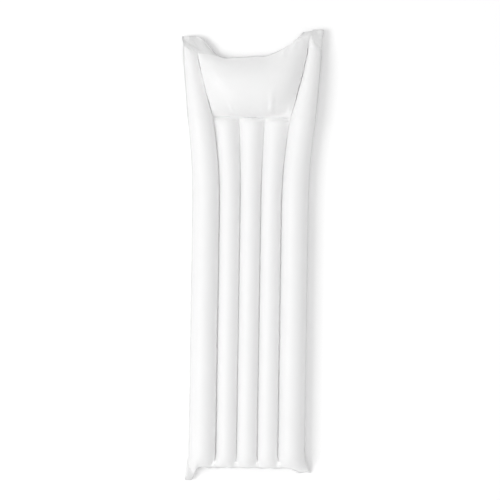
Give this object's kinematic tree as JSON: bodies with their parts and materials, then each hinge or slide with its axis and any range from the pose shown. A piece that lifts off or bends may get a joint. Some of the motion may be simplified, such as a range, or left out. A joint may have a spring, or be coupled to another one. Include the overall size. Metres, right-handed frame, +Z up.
{
  "type": "pool air mattress",
  "caption": "Inflatable pool air mattress: lengthwise air tubes, a raised pillow that widens to flat ears at the head, and recessed push-in air valves underneath.",
  "frame": {"origin": "on the floor under the middle of the inflated outline", "axes": "+Y towards the head end with the pillow, +X to the right seen from above with the head away, +Z up"},
  "size_m": [0.576, 1.78, 0.1477],
  "materials": {
    "film": "satin white PVC film",
    "valve_moulding": "satin white soft PVC moulding"
  },
  "bodies": {
    "mattress": {"top_sheet": "film", "bottom_sheet": "film", "body_valve_base": "valve_moulding", "pillow_valve_base": "valve_moulding"},
    "body_stem": {"body_valve_stem": "valve_moulding"},
    "body_plug": {"body_valve_plug": "valve_moulding"},
    "body_flap": {"body_valve_flap": "valve_moulding"},
    "pillow_stem": {"pillow_valve_stem": "valve_moulding"},
    "pillow_plug": {"pillow_valve_plug": "valve_moulding"},
    "pillow_flap": {"pillow_valve_flap": "valve_moulding"}
  },
  "joints": [
    {"name": "body_valve_pull", "type": "slide", "parent": "mattress", "child": "body_stem", "axis": [0, 0, -1], "range_m": [0, 0.008]},
    {"name": "body_plug_open", "type": "hinge", "parent": "body_stem", "child": "body_plug", "pos_m": [-0.1694, 0.125, 0.00227], "axis": [0, -1, 0], "range_deg": [0, 105]},
    {"name": "body_flap_open", "type": "hinge", "parent": "body_stem", "child": "body_flap", "pos_m": [-0.1716, 0.125, 0.01897], "axis": [0, 1, 0], "range_deg": [0, 40]},
    {"name": "pillow_valve_pull", "type": "slide", "parent": "mattress", "child": "pillow_stem", "axis": [0, 0, -1], "range_m": [0, 0.008]},
    {"name": "pillow_plug_open", "type": "hinge", "parent": "pillow_stem", "child": "pillow_plug", "pos_m": [0.0071, 0.6585, 0.00227], "axis": [0, -1, 0], "range_deg": [0, 105]},
    {"name": "pillow_flap_open", "type": "hinge", "parent": "pillow_stem", "child": "pillow_flap", "pos_m": [0.0049, 0.6585, 0.01897], "axis": [0, 1, 0], "range_deg": [0, 40]}
  ]
}
